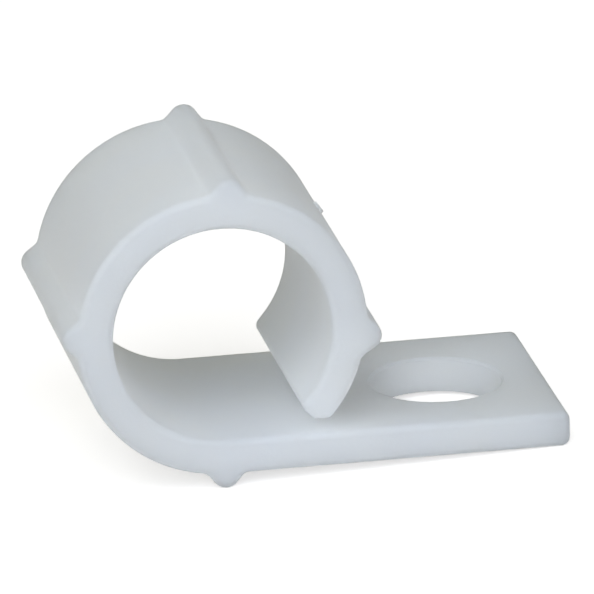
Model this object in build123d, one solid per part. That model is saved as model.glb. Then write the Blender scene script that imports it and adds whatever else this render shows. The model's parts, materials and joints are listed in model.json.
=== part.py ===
from build123d import *
import math
import os

# One-piece moulded cable clip: a flat base with a screw hole, curled at one end into a loop for the cable.
# The origin is on the screw hole's axis, level with the underside of the base. +X runs along the base away
# from the loop, +Y along the cable and +Z up through the screw hole. All sizes are in millimetres.

# What the clip takes
cable_diameter = 7.94  # inside of the loop, five sixteenths of an inch
screw_hole_diameter = 4.76  # three sixteenths of an inch

# Strap that the base, the loop and the arm are formed from
strap_width = 9.53  # along the cable, three eighths of an inch
strap_thickness = 1.3  # base and loop
arm_thickness = 1.2  # springy arm, from the last rib to its end

# Base
hole_to_loop = 8.6  # from the screw hole to the loop's axis
hole_to_end = 4.0  # from the screw hole to the free end of the base

# Free end of the arm, above the base
mouth_gap = 0.5  # between the arm's end and the base
tip_flat = 0.6  # part of the arm's end that is level with the base, from its outside inwards

# Ribs along the outside of the loop
rib_angles = (-90.0, 177.5, 86.5, -5.3)  # from the base round to the arm, counted from +X
rib_height = 0.53
rib_slope = 51.5  # between the sides of a rib and the surface that it stands on
rib_ridge_radius = 0.53
rib_fillet = 0.2  # where a rib runs into the loop

# Stub left by the gate of the mould, in the middle of the strap's width
gate_angle = 34.0
gate_diameter = 0.55
gate_height = 0.1

# Rounding
edge_radius = 0.27  # rims of the strap
corner_extra = 0.05  # corners of the base and of the arm's end are rounder than the rims by this
hole_rim_chamfer = 0.1  # upper rim of the screw hole

# Worked out from the sizes above
bore_radius = cable_diameter / 2
loop_radius = bore_radius + strap_thickness
arm_radius = bore_radius + arm_thickness
corner_radius = edge_radius + corner_extra
loop_centre = Vector(-hole_to_loop, strap_thickness + bore_radius)
touch = strap_thickness / 100


def from_loop(radius, angle):
    return loop_centre + Vector(radius, 0).rotate(Axis.Z, angle)


def corners_at(outline, places):
    # Corners of an outline that lie at any of the given places
    return outline.vertices().filter_by(
        lambda corner: any((Vector(*corner) - place).length < touch for place in places)
    )


def loop_outline():
    # Loop and arm, seen along the cable, down to the cut end of the arm
    drop = bore_radius - mouth_gap
    tip_outside = loop_centre + Vector((arm_radius**2 - drop**2) ** 0.5, -drop)
    tip_middle = tip_outside - Vector(tip_flat, 0)
    tip_inside = loop_centre + (tip_middle - loop_centre).normalized() * bore_radius

    clear = 2 * loop_radius
    below = loop_centre - Vector(0, clear)
    aside = Vector(clear, 0)
    mouth = Polygon(loop_centre, tip_middle, tip_middle + aside, below + aside, below, align=None)
    arm_sector = Polygon(loop_centre, from_loop(clear, rib_angles[-1]), below, align=None)
    full_loop = Pos(loop_centre) * Circle(loop_radius) - arm_sector
    full_arm = Pos(loop_centre) * Circle(arm_radius) & arm_sector
    loop = full_loop + full_arm - Pos(loop_centre) * Circle(bore_radius) - mouth
    return fillet(corners_at(loop, [tip_outside, tip_middle, tip_inside]), corner_radius)


def rib_outline(angle):
    # Two straight sides that start inside the strap and meet at a rounded ridge
    side = math.radians(rib_slope)
    root = loop_radius - strap_thickness / 2
    peak = loop_radius + rib_height + rib_ridge_radius * (1 / math.cos(side) - 1)
    half_width = (peak - root) / math.tan(side)
    rib = Polygon((peak, 0), (root, half_width), (root, -half_width), align=None)
    rib = fillet(corners_at(rib, [Vector(peak, 0)]), rib_ridge_radius)
    return Pos(loop_centre) * Rot(Z=angle) * rib


def strap_outline():
    # Whole clip seen along the cable
    base = Pos(-hole_to_loop, 0) * Rectangle(hole_to_loop + hole_to_end, strap_thickness, align=Align.MIN)
    strap = loop_outline() + base
    ribs = [rib_outline(angle) for angle in rib_angles]
    outline = strap + ribs

    # Corners that neither the strap nor a rib had before are where they meet
    corners_before = [Vector(*corner) for piece in [strap, *ribs] for corner in piece.vertices()]
    return fillet(outline.vertices() - corners_at(outline, corners_before), rib_fillet)


def screw_hole():
    # What is taken out of the base: a plain round hole with a broken upper rim
    radius = screw_hole_diameter / 2
    rim_height = 2 * hole_rim_chamfer
    rim = Cone(radius, radius + rim_height, rim_height, align=(Align.CENTER, Align.CENTER, Align.MIN))
    return Cylinder(radius, 4 * strap_thickness) + Pos(Z=strap_thickness - hole_rim_chamfer) * rim


def gate_stub():
    foot = Plane.XZ.from_local_coords(from_loop(loop_radius - gate_height, gate_angle))
    top = Plane.XZ.from_local_coords(from_loop(loop_radius + gate_height, gate_angle))
    stub = extrude(Plane(foot, z_dir=top - foot) * Circle(gate_diameter / 2), (top - foot).length)
    return chamfer(stub.edges().group_by(Axis(foot, top - foot))[-1], gate_height / 2)


def clip_body():
    body = extrude(Plane.XZ * strap_outline(), strap_width / 2, both=True)
    base_end = body.faces().sort_by(Axis.X)[-1]
    body = fillet(base_end.edges().filter_by(Axis.Z), corner_radius)

    # Rims of both sides, which run on round the free end of the base
    sides = body.faces().filter_by(Axis.Y)
    body = fillet(sides.edges() - sides.edges().filter_by(Axis.Z), edge_radius)

    return body - screw_hole() + gate_stub()


os.makedirs("parts", exist_ok=True)
export_step(clip_body(), "parts/clip_body.step")
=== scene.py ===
import bpy
import json
import math
from mathutils import Matrix, Vector


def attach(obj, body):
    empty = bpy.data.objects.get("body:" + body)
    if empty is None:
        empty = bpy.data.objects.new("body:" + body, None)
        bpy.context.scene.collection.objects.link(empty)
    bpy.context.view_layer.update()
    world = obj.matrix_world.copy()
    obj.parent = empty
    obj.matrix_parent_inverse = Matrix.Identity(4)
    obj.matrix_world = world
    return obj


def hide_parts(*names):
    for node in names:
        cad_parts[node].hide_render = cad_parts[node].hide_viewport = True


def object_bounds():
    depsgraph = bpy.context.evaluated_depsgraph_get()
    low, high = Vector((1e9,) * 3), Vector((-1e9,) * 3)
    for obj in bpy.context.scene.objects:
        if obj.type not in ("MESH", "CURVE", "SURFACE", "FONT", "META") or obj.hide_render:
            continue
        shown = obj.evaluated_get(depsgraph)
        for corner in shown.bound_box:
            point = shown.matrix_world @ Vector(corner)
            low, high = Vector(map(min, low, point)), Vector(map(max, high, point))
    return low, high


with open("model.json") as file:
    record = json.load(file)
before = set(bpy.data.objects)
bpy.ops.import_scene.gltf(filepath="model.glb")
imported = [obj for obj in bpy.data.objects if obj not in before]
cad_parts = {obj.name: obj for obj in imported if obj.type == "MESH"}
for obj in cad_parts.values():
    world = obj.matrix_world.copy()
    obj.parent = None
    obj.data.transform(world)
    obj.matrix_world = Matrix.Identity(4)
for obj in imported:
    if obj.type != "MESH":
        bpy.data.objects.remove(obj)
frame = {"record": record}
cadLow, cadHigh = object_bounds()
mm = 0.001
scene = bpy.context.scene
mounts = {mount["name"]: mount for mount in frame["record"]["mounts"]}
print("frame loaded, clip is", [round((high - low) / mm, 2) for low, high in zip(cadLow, cadHigh)], "mm")

# Sizes that come from the frame
loopAxis = Vector(mounts["cable_loop"]["pos_m"])
boreRadius = mounts["cable_loop"]["dims"]["r_mm"] * mm
holeRadius = mounts["screw_hole"]["dims"]["r_mm"] * mm
strapWidth = cadHigh.y - cadLow.y
strapThickness = loopAxis.z - boreRadius  # the loop's floor is the top of the base
loopRadius = boreRadius + strapThickness
baseEnd = cadHigh.x


class Tree:
    # Shorthand for making and linking the nodes of one tree
    def __init__(self, nodeTree):
        self.nodeTree = nodeTree

    def socket(self, name, kind, way="INPUT"):
        self.nodeTree.interface.new_socket(name, in_out=way, socket_type="NodeSocket" + kind)

    def link(self, source, target):
        self.nodeTree.links.new(source, target)

    def feed(self, node, values):
        # Values go in by socket name or in order, and an output of another node is linked
        for socket, value in (values.items() if isinstance(values, dict) else enumerate(values)):
            if isinstance(value, bpy.types.NodeSocket):
                self.link(value, node.inputs[socket])
            else:
                node.inputs[socket].default_value = value

    def node(self, kind, values=(), **settings):
        made = self.nodeTree.nodes.new(kind)
        for key, value in settings.items():
            setattr(made, key, value)
        self.feed(made, values)
        return made

    def out(self, kind, values=(), **settings):
        return self.node(kind, values, **settings).outputs[0]

    def gather(self, kind, socket, pieces, values=(), **settings):
        # A node that takes several pieces in one socket
        made = self.node(kind, values, **settings)
        for piece in pieces:
            self.link(piece, made.inputs[socket])
        return made.outputs[0]

    def calc(self, operation, *values):
        return self.out("ShaderNodeMath", values, operation=operation)

    def combine(self, *values):
        return self.out("ShaderNodeCombineXYZ", values)

    def scale(self, vector, factor):
        return self.out("ShaderNodeVectorMath", {"Vector": vector, "Scale": factor}, operation="SCALE")

    def dot(self, first, second):
        made = self.node("ShaderNodeVectorMath", (first, second), operation="DOT_PRODUCT")
        return made.outputs["Value"]


clip = {
    "armThickness": 1.2 * mm,  # springy arm, a little thinner than the loop
    "mouthGap": 0.5 * mm,  # from the arm's end down to the base
    "tipFlat": 0.6 * mm,  # level part of the arm's end
    "rim": 0.27 * mm,  # rounding of both sides
    "rimSteps": 8,
    "corner": 0.32 * mm,  # corners of the base's end and of the arm's end
    "cornerSteps": 8,
    "outerStep": math.radians(0.6),  # fine enough to carry the ribs
    "boreStep": math.radians(1.2),
    "lineStep": 0.4 * mm,  # along the base
    "acrossSteps": 24,  # points across the flat of the strap
    "ribAngles": (-90.0, 177.5, 86.5, -5.3),  # degrees, from the base round to the arm
    "ribHeight": 0.529 * mm,  # a hair low, which keeps the mesh inside the CAD box
    "ribSlope": 51.5,  # degrees
    "ribRidge": 0.53 * mm,  # rounding of the ridge
    "ribFoot": 0.22 * mm,  # softness where a rib runs into the loop
    "ribClear": 3,  # the base is finely divided for this many rib heights beside the lowest rib
    "holeRim": 0.1 * mm,  # broken upper rim of the screw hole
    "holeSides": 128,
    "gateAngle": 34.0,  # degrees
    "gateRadius": 0.275 * mm,
    "gateHeight": 0.1 * mm,
    "gateDraft": 0.04 * mm,
    "gateSides": 48,
    "toolLength": 4,  # the hole's cutter in strap thicknesses, and the gate stub in its own heights
    "profileWeld": 0.001 * mm,  # points closer than this become one
    "sideWeld": 0.002 * mm,
    "sharpAngle": 40,  # degrees, edges that turn more than this stay sharp
}


def polar(centre, radius, angle):
    return centre + Vector((radius * math.cos(angle), radius * math.sin(angle)))


def arc(centre, radius, start, end, step):
    count = max(2, math.ceil(abs(end - start) / step))
    return [polar(centre, radius, start + (end - start) * i / count) for i in range(count + 1)]


def straight(start, end, step):
    # Points between two ends, without the ends
    count = max(1, math.ceil((end - start).length / step))
    return [start.lerp(end, i / count) for i in range(1, count)]


def roundCorner(before, corner, after, radius, steps):
    # Arc that touches both sides of a corner
    back, ahead = (before - corner).normalized(), (after - corner).normalized()
    half = back.angle(ahead) / 2
    centre = corner + (back + ahead).normalized() * radius / math.sin(half)
    start = corner + back * radius / math.tan(half) - centre
    turn = start.angle_signed(corner + ahead * radius / math.tan(half) - centre)
    startAngle = math.atan2(start.y, start.x)
    return arc(centre, radius, startAngle, startAngle - turn, abs(turn) / steps)


def strapOutline():
    # Side view of the strap without its ribs: base, loop, arm and the arm's cut end, anticlockwise
    centre = Vector((loopAxis.x, loopAxis.z))
    armRadius = boreRadius + clip["armThickness"]
    corner, cornerTurn = clip["corner"], math.pi / 2 / clip["cornerSteps"]
    lastRib = math.radians(clip["ribAngles"][-1])

    # Arm's end: level below, then cut straight towards the loop's axis
    tipLevel = strapThickness + clip["mouthGap"]
    drop = tipLevel - centre.y
    tipOutside = Vector((centre.x + math.sqrt(armRadius**2 - drop**2), tipLevel))
    tipMiddle = tipOutside - Vector((clip["tipFlat"], 0))
    cut = tipMiddle - centre
    cutAngle = math.atan2(cut.y, cut.x)

    insideAngle = cutAngle + math.asin(corner / (boreRadius + corner))
    insideArc = arc(polar(centre, boreRadius + corner, insideAngle), corner,
                    insideAngle + math.pi, cutAngle + math.pi * 1.5, cornerTurn)
    outsideAngle = math.asin((drop + corner) / (armRadius - corner))
    outsideArc = arc(polar(centre, armRadius - corner, outsideAngle), corner,
                     -math.pi / 2, outsideAngle, cornerTurn)

    low, high = Vector((baseEnd, 0)), Vector((baseEnd, strapThickness))
    floor, under = Vector((centre.x, strapThickness)), Vector((centre.x, 0))
    clearOfRib = under + Vector((clip["ribHeight"] * clip["ribClear"], 0))
    lowArc = roundCorner(under, low, high, corner, clip["cornerSteps"])
    highArc = roundCorner(low, high, floor, corner, clip["cornerSteps"])

    boreArc = arc(centre, boreRadius, -math.pi / 2, insideAngle - 2 * math.pi, clip["boreStep"])
    armArc = arc(centre, armRadius, outsideAngle, lastRib, clip["outerStep"])
    loopArc = arc(centre, loopRadius, lastRib, math.pi * 1.5, clip["outerStep"])
    return (lowArc + highArc + straight(highArc[-1], floor, clip["lineStep"])
            + boreArc + insideArc[1:]
            + roundCorner(insideArc[-1], tipMiddle, outsideArc[0], corner, clip["cornerSteps"])
            + outsideArc + armArc[1:] + loopArc[1:]
            + straight(under, clearOfRib, clip["outerStep"] * loopRadius) + [clearOfRib]
            + straight(clearOfRib, lowArc[0], clip["lineStep"]))


def outlineCurve(points):
    curve = bpy.data.curves.new("clipOutline", "CURVE")
    curve.dimensions = "3D"
    spline = curve.splines.new("POLY")
    spline.points.add(len(points) - 1)
    for point, place in zip(spline.points, points):
        point.co = (place.x, place.y, 0, 1)
    spline.use_cyclic_u = True
    obj = bpy.data.objects.new("clipOutline", curve)
    scene.collection.objects.link(obj)
    return obj


def mouldInputs(finish):
    # What the node tree is given: kind of socket and value
    return {
        "Loop Centre": ("Vector", (loopAxis.x, loopAxis.z, 0)),
        "Loop Radius": ("Float", loopRadius),
        "Strap Thickness": ("Float", strapThickness),
        "Strap Width": ("Float", strapWidth),
        "Rim": ("Float", clip["rim"]),
        "Rim Steps": ("Int", clip["rimSteps"]),
        "Across Steps": ("Int", clip["acrossSteps"]),
        "Rib Height": ("Float", clip["ribHeight"]),
        "Rib Slope": ("Float", math.radians(clip["ribSlope"])),
        "Rib Ridge": ("Float", clip["ribRidge"]),
        "Rib Foot": ("Float", clip["ribFoot"]),
        "Hole Radius": ("Float", holeRadius),
        "Hole Rim": ("Float", clip["holeRim"]),
        "Hole Sides": ("Int", clip["holeSides"]),
        "Gate Angle": ("Float", math.radians(clip["gateAngle"])),
        "Gate Radius": ("Float", clip["gateRadius"]),
        "Gate Height": ("Float", clip["gateHeight"]),
        "Gate Draft": ("Float", clip["gateDraft"]),
        "Gate Sides": ("Int", clip["gateSides"]),
        "Finish": ("Material", finish),
    }


def ribGroup():
    # Lifts the points of the outline that lie under one rib
    tree = Tree(bpy.data.node_groups.new("raiseRib", "GeometryNodeTree"))
    tree.socket("Curve", "Geometry")
    for name in ("Angle", "Base Radius", "Height", "Slope", "Ridge", "Foot", "Skin"):
        tree.socket(name, "Float")
    tree.socket("Centre", "Vector")
    tree.socket("Curve", "Geometry", "OUTPUT")
    given = tree.node("NodeGroupInput").outputs

    position = tree.out("GeometryNodeInputPosition")
    away = tree.out("ShaderNodeVectorMath", (position, given["Centre"]), operation="SUBTRACT")
    cosine, sine = tree.calc("COSINE", given["Angle"]), tree.calc("SINE", given["Angle"])
    outward = tree.combine(cosine, sine)
    sideways = tree.combine(tree.calc("MULTIPLY", sine, -1), cosine)
    height = tree.dot(away, outward)
    offset = tree.calc("ABSOLUTE", tree.dot(away, sideways))

    # Section of the rib: straight sides with a round ridge between them
    slope, ridge = given["Slope"], given["Ridge"]
    top = tree.calc("ADD", given["Base Radius"], given["Height"])
    spread = tree.calc("SUBTRACT", tree.calc("DIVIDE", ridge, tree.calc("COSINE", slope)), ridge)
    peak = tree.calc("ADD", top, spread)
    side = tree.calc("SUBTRACT", peak, tree.calc("MULTIPLY", offset, tree.calc("TANGENT", slope)))
    ridgeSquare, offsetSquare = (tree.calc("MULTIPLY", length, length) for length in (ridge, offset))
    rise = tree.calc("SQRT", tree.calc("MAXIMUM", tree.calc("SUBTRACT", ridgeSquare, offsetSquare), 0))
    crown = tree.calc("ADD", tree.calc("SUBTRACT", top, ridge), rise)
    onRidge = tree.calc("LESS_THAN", offset, tree.calc("MULTIPLY", ridge, tree.calc("SINE", slope)))
    section = tree.out("GeometryNodeSwitch", (onRidge, side, crown), input_type="FLOAT")
    raised = tree.calc("SMOOTH_MAX", height, section, given["Foot"])

    outside = tree.calc("GREATER_THAN", height, given["Skin"])  # leaves the bore alone
    shift = tree.scale(outward, tree.calc("SUBTRACT", raised, height))
    lifted = tree.out("GeometryNodeSetPosition", {
        "Geometry": given["Curve"], "Selection": outside, "Offset": shift})
    tree.node("NodeGroupOutput", (lifted,))
    return tree.nodeTree


def strapProfile(tree, given):
    # Across the strap: a quarter round, the flat and another quarter round
    flat = tree.calc("SUBTRACT", tree.calc("DIVIDE", given["Strap Width"], 2), given["Rim"])
    rims, ends = [], []
    for way in (-1, 1):
        edge = tree.calc("MULTIPLY", flat, way)
        quarter = tree.out("GeometryNodeCurveArc", {
            "Resolution": tree.calc("ADD", given["Rim Steps"], 1), "Radius": given["Rim"],
            "Start Angle": 0.0, "Sweep Angle": math.pi / 2 * way})
        place = tree.combine(tree.calc("MULTIPLY", given["Rim"], -1), edge)
        rims.append(tree.out("GeometryNodeTransform", {"Geometry": quarter, "Translation": place}))
        ends.append(tree.combine(0.0, edge))
    line = tree.out("GeometryNodeCurvePrimitiveLine", {"Start": ends[0], "End": ends[1]})
    line = tree.out("GeometryNodeResampleCurve", {"Curve": line, "Count": given["Across Steps"]})
    joined = tree.gather("GeometryNodeJoinGeometry", "Geometry", (*rims, line))
    wire = tree.out("GeometryNodeCurveToMesh", {"Curve": joined})
    wire = tree.out("GeometryNodeMergeByDistance", {"Geometry": wire, "Distance": clip["profileWeld"]})
    return tree.out("GeometryNodeMeshToCurve", {"Mesh": wire})


def closedStrap(tree, given, curve):
    profile = strapProfile(tree, given)
    band = tree.out("GeometryNodeCurveToMesh", {"Curve": curve, "Profile Curve": profile})
    band = tree.out("GeometryNodeFlipFaces", {"Mesh": band})

    # Both sides are the outline, drawn in by the rim
    normal = tree.out("GeometryNodeInputNormal")
    inward = tree.scale(normal, tree.calc("MULTIPLY", given["Rim"], -1))
    inset = tree.out("GeometryNodeSetPosition", {"Geometry": curve, "Offset": inward})
    side = tree.out("GeometryNodeFillCurve", {"Curve": inset})
    half = tree.calc("DIVIDE", given["Strap Width"], 2)
    sides = []
    for way in (-1, 1):
        lift = tree.combine(0.0, 0.0, tree.calc("MULTIPLY", half, way))
        sides.append(tree.out("GeometryNodeTransform", {"Geometry": side, "Translation": lift}))
    sides[0] = tree.out("GeometryNodeFlipFaces", {"Mesh": sides[0]})
    closed = tree.gather("GeometryNodeJoinGeometry", "Geometry", (band, *sides))
    body = tree.out("GeometryNodeMergeByDistance", {"Geometry": closed, "Distance": clip["sideWeld"]})
    upright = (math.pi / 2, 0, 0)
    return tree.out("GeometryNodeTransform", {"Geometry": body, "Rotation": upright})


def holeTools(tree, given):
    # What is cut out of the base: a plain round hole and the funnel of its broken upper rim
    sides, radius, thickness = given["Hole Sides"], given["Hole Radius"], given["Strap Thickness"]
    depth = tree.calc("MULTIPLY", thickness, clip["toolLength"])
    shaft = tree.out("GeometryNodeMeshCylinder", {"Vertices": sides, "Radius": radius, "Depth": depth})
    rimHeight = tree.calc("MULTIPLY", given["Hole Rim"], 2)
    funnel = tree.out("GeometryNodeMeshCone", {
        "Vertices": sides, "Radius Top": tree.calc("ADD", radius, rimHeight), "Radius Bottom": radius,
        "Depth": rimHeight})
    place = tree.combine(0.0, 0.0, tree.calc("SUBTRACT", thickness, given["Hole Rim"]))
    return shaft, tree.out("GeometryNodeTransform", {"Geometry": funnel, "Translation": place})


def gateStub(tree, given):
    # Tapered stub where the mould was filled, sunk into the loop
    radius, draft, height = given["Gate Radius"], given["Gate Draft"], given["Gate Height"]
    depth = tree.calc("MULTIPLY", height, clip["toolLength"])
    stub = tree.out("GeometryNodeMeshCone", {
        "Vertices": given["Gate Sides"], "Radius Top": tree.calc("SUBTRACT", radius, draft),
        "Radius Bottom": tree.calc("ADD", radius, draft), "Depth": depth})
    foot = tree.calc("ADD", given["Loop Radius"], tree.calc("SUBTRACT", height, depth))
    place = tree.combine(0.0, 0.0, foot)
    stub = tree.out("GeometryNodeTransform", {"Geometry": stub, "Translation": place})
    lean = tree.combine(0.0, tree.calc("SUBTRACT", math.pi / 2, given["Gate Angle"]))
    flatCentre = tree.node("ShaderNodeSeparateXYZ", (given["Loop Centre"],)).outputs
    centre = tree.combine(flatCentre[0], 0.0, flatCentre[1])
    return tree.out("GeometryNodeTransform", {"Geometry": stub, "Translation": centre, "Rotation": lean})


def clipTree(inputs):
    # Ribbed side view, swept across the strap, closed, drilled and given its gate stub
    tree = Tree(bpy.data.node_groups.new("mouldClip", "GeometryNodeTree"))
    tree.socket("Outline", "Geometry")
    for name, (kind, _) in inputs.items():
        tree.socket(name, kind)
    tree.socket("Clip", "Geometry", "OUTPUT")
    given = tree.node("NodeGroupInput").outputs

    curve = given["Outline"]
    skin = tree.calc("SUBTRACT", given["Loop Radius"], tree.calc("DIVIDE", given["Strap Thickness"], 2))
    raiseRib = ribGroup()
    for angle in clip["ribAngles"]:
        curve = tree.out("GeometryNodeGroup", {
            "Curve": curve, "Angle": math.radians(angle), "Base Radius": given["Loop Radius"],
            "Height": given["Rib Height"], "Slope": given["Rib Slope"], "Ridge": given["Rib Ridge"],
            "Foot": given["Rib Foot"], "Skin": skin, "Centre": given["Loop Centre"]}, node_tree=raiseRib)
    curve = tree.out("GeometryNodeSetCurveNormal", {"Curve": curve}, mode="Z_UP")

    strap = closedStrap(tree, given, curve)
    drilled = tree.gather("GeometryNodeMeshBoolean", "Mesh 2", holeTools(tree, given), {"Mesh 1": strap},
                          operation="DIFFERENCE", solver="MANIFOLD")
    whole = tree.gather("GeometryNodeMeshBoolean", "Mesh 2", (drilled, gateStub(tree, given)),
                        operation="UNION", solver="MANIFOLD")
    real = tree.out("GeometryNodeRealizeInstances", {"Geometry": whole})
    done = tree.out("GeometryNodeSetMaterial", {"Geometry": real, "Material": given["Finish"]})
    tree.node("NodeGroupOutput", (done,))
    return tree.nodeTree


def plainMesh(obj):
    # The evaluated object as a mesh of its own
    graph = bpy.context.evaluated_depsgraph_get()
    return bpy.data.meshes.new_from_object(obj.evaluated_get(graph), depsgraph=graph)


def makeClip(finish):
    outline = outlineCurve(strapOutline())
    inputs = mouldInputs(finish)
    moulding = outline.modifiers.new("mouldClip", "NODES")
    moulding.node_group = clipTree(inputs)
    for item in moulding.node_group.interface.items_tree:
        if item.name in inputs:
            moulding[item.identifier] = inputs[item.name][1]
    body = bpy.data.objects.new("clipBody", plainMesh(outline))
    bpy.data.objects.remove(outline)
    scene.collection.objects.link(body)

    body.data.shade_smooth()
    body.data.set_sharp_from_angle(angle=math.radians(clip["sharpAngle"]))
    weighted = body.modifiers.new("flatFacesStayFlat", "WEIGHTED_NORMAL")
    weighted.keep_sharp = True
    body.data = plainMesh(body)
    body.modifiers.clear()
    body.data.name = "clipBody"
    print("clip made,", sum(len(face.vertices) - 2 for face in body.data.polygons), "triangles")
    return body


nylon = {
    "cool": (0.76, 0.79, 0.815, 1),  # the two tones of the milky white
    "warm": (0.785, 0.80, 0.785, 1),
    "cloudSize": 2.5 * mm,
    "cloudDetail": 3,
    "roughness": 0.5,
    "roughnessSpread": 0.06,
    "specular": 0.15,
    "ior": 1.53,
    "grainSize": 0.12 * mm,
    "grain": 0.05,
    "scatter": 5.5 * mm,  # how far light spreads inside
    "scatterWeight": 0.7,
    "scatterRadius": (1.0, 0.95, 0.9),  # share of that for red, green and blue
}


def naturalNylon():
    material = bpy.data.materials.new("naturalNylon")
    material.use_nodes = True
    tree = Tree(material.node_tree)
    place = tree.node("ShaderNodeTexCoord").outputs["Object"]

    # Faint clouds shift the tone and the gloss
    cloud = tree.out("ShaderNodeTexNoise", {
        "Vector": place, "Scale": 1 / nylon["cloudSize"], "Detail": nylon["cloudDetail"]})
    colour = tree.node("ShaderNodeMix", data_type="RGBA")
    tree.feed(colour, {"Factor": cloud, "A": nylon["cool"], "B": nylon["warm"]})
    gloss = tree.out("ShaderNodeMapRange", {
        "Value": cloud, "To Min": nylon["roughness"] - nylon["roughnessSpread"],
        "To Max": nylon["roughness"] + nylon["roughnessSpread"]})

    grain = tree.out("ShaderNodeTexNoise", {"Vector": place, "Scale": 1 / nylon["grainSize"]})
    bump = tree.out("ShaderNodeBump", {
        "Strength": nylon["grain"], "Distance": nylon["grainSize"], "Height": grain})

    shader = material.node_tree.nodes["Principled BSDF"]
    shader.subsurface_method = "BURLEY"  # blurs the light evenly, as the milky strap does
    tree.feed(shader, {
        "Base Color": colour.outputs["Result"],
        "Roughness": gloss,
        "Normal": bump,
        "IOR": nylon["ior"],
        "Specular IOR Level": nylon["specular"],
        "Subsurface Weight": nylon["scatterWeight"],
        "Subsurface Radius": nylon["scatterRadius"],
        "Subsurface Scale": nylon["scatter"],
    })
    return material


def towards(azimuth, elevation):
    # Way from the clip to the camera or a lamp, with azimuth 0 in front of it
    turn, rise = math.radians(azimuth), math.radians(elevation)
    return Vector((math.sin(turn) * math.cos(rise), -math.cos(turn) * math.cos(rise), math.sin(rise)))


view = {
    "azimuth": -10.378,  # degrees, the photograph's angle
    "elevation": 18.805,
    "roll": -1.296,
    "distance": 374.34 * mm,
    "target": Vector((-5.0518, 0, 4.8848)) * mm,
    "lens": 627.6,  # millimetres, as the sensor
    "sensor": 36.0,
    "clipStart": 0.1,  # nearest and farthest that is seen, in camera distances
    "clipEnd": 100,
}


def placeCamera():
    turn, roll = math.radians(view["azimuth"]), math.radians(view["roll"])
    back = towards(view["azimuth"], view["elevation"])
    level = Vector((math.cos(turn), math.sin(turn), 0))
    upright = back.cross(level)
    right = math.cos(roll) * level + math.sin(roll) * upright
    up = math.cos(roll) * upright - math.sin(roll) * level

    camera = bpy.data.objects.new("camera", bpy.data.cameras.new("camera"))
    scene.collection.objects.link(camera)
    camera.data.lens = view["lens"]
    camera.data.sensor_width = view["sensor"]
    camera.data.clip_start = view["distance"] * view["clipStart"]
    camera.data.clip_end = view["distance"] * view["clipEnd"]
    place = Matrix.Translation(view["target"] + back * view["distance"])
    camera.matrix_world = place @ Matrix((right, up, back)).transposed().to_4x4()
    scene.camera = camera


stage = {
    "floorSize": 4.0,
    "floorColour": (0.80, 0.77, 0.73, 1),
    "floorGlow": 0.62,  # lifts the lit floor to white, and leaves the shadow
    "sky": (1.0, 0.98, 0.94, 1),
    "skyStrength": 0.02,
}


def makeSky():
    world = bpy.data.worlds.new("studio")
    world.use_nodes = True
    Tree(world.node_tree).feed(world.node_tree.nodes["Background"], {
        "Color": stage["sky"], "Strength": stage["skyStrength"]})
    scene.world = world


def paleFloor():
    material = bpy.data.materials.new("paleFloor")
    material.use_nodes = True
    nodes = material.node_tree.nodes
    nodes.remove(nodes["Principled BSDF"])
    tree = Tree(material.node_tree)
    paper = tree.out("ShaderNodeBsdfDiffuse", {"Color": stage["floorColour"]})

    # The glow is there for the camera, for reflections and for what is seen through something clear
    path = tree.node("ShaderNodeLightPath").outputs
    seen = path["Is Camera Ray"]
    for name in ("Is Glossy Ray", "Is Transmission Ray"):
        seen = tree.calc("MAXIMUM", seen, path[name])
    glow = tree.out("ShaderNodeEmission", {"Strength": tree.calc("MULTIPLY", seen, stage["floorGlow"])})
    both = tree.out("ShaderNodeAddShader", (paper, glow))
    tree.link(both, nodes["Material Output"].inputs["Surface"])
    return material


def layFloor():
    half = stage["floorSize"] / 2
    corners = [(-half, -half, 0), (half, -half, 0), (half, half, 0), (-half, half, 0)]
    mesh = bpy.data.meshes.new("floor")
    mesh.from_pydata(corners, [], [(0, 1, 2, 3)])
    mesh.materials.append(paleFloor())
    floor = bpy.data.objects.new("floor", mesh)
    scene.collection.objects.link(floor)

    # The clip rests on its lowest rib and on the end of its base
    restRise = math.atan2(-cadLow.z, baseEnd - loopAxis.x)
    floor.location = (loopAxis.x, 0, cadLow.z)
    floor.rotation_euler = (0, -restRise, 0)


# Soft square lamps: azimuth and elevation in degrees, distance and side in metres, watts, colour
lamps = {
    "front": (-4, 28, 0.50, 1.20, 1.52, (0.80, 0.87, 1.0)),
    "key": (-12, 40, 0.40, 0.40, 1.10, (0.84, 0.89, 1.0)),
    "left": (-68, 50, 0.50, 0.80, 0.58, (1.0, 1.0, 0.91)),
    "back": (180, 48, 0.50, 0.90, 0.84, (1.0, 0.99, 0.85)),
}


def hangLamps():
    middle = (cadLow + cadHigh) / 2
    for name, (azimuth, elevation, distance, side, watts, colour) in lamps.items():
        light = bpy.data.lights.new(name, "AREA")
        light.size, light.energy, light.color = side, watts, colour
        lamp = bpy.data.objects.new(name, light)
        way = towards(azimuth, elevation)
        lamp.location = middle + way * distance
        lamp.rotation_euler = way.to_track_quat("Z", "Y").to_euler()
        lamp.visible_camera = False
        scene.collection.objects.link(lamp)


scene.view_settings.view_transform = "Standard"
placeCamera()
makeSky()
layFloor()
hangLamps()
print("camera, floor and lamps placed")

clipBody = makeClip(naturalNylon())
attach(clipBody, "root")
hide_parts("clip_body")
